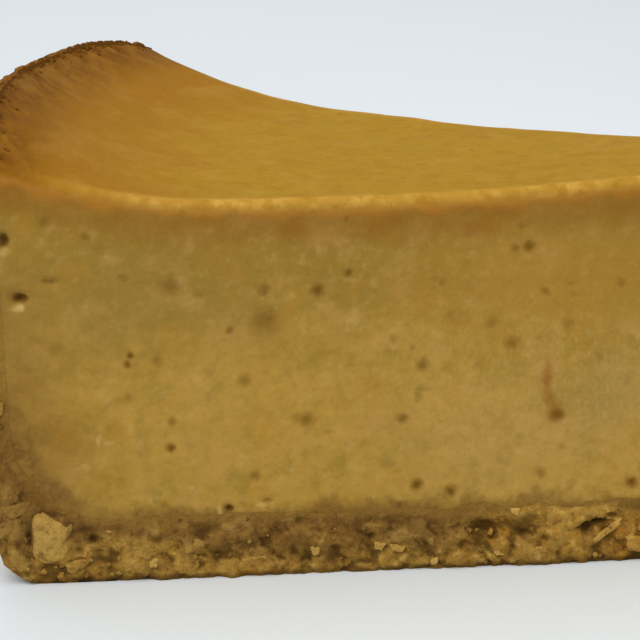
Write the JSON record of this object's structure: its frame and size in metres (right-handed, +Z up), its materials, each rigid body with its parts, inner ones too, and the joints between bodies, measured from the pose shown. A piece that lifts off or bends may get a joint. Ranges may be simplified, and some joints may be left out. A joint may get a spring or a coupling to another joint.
{
  "type": "baked cheesecake slice",
  "caption": "Wedge of baked pumpkin cheesecake with a dished, browned top, raised outer rim and a crumb crust under it and up its outer edge.",
  "frame": {"origin": "under the middle of the slice's bounding box, on the surface it rests on", "axes": "+X from the outer rim towards the tip, +Z up; the cut side that the picture shows faces -Y"},
  "size_m": [0.1145, 0.0716, 0.0583],
  "materials": {
    "crust": "rough baked crumb",
    "filling": "smooth, slightly moist"
  },
  "bodies": {
    "root": {"crust": "crust", "filling": "filling"}
  },
  "joints": []
}
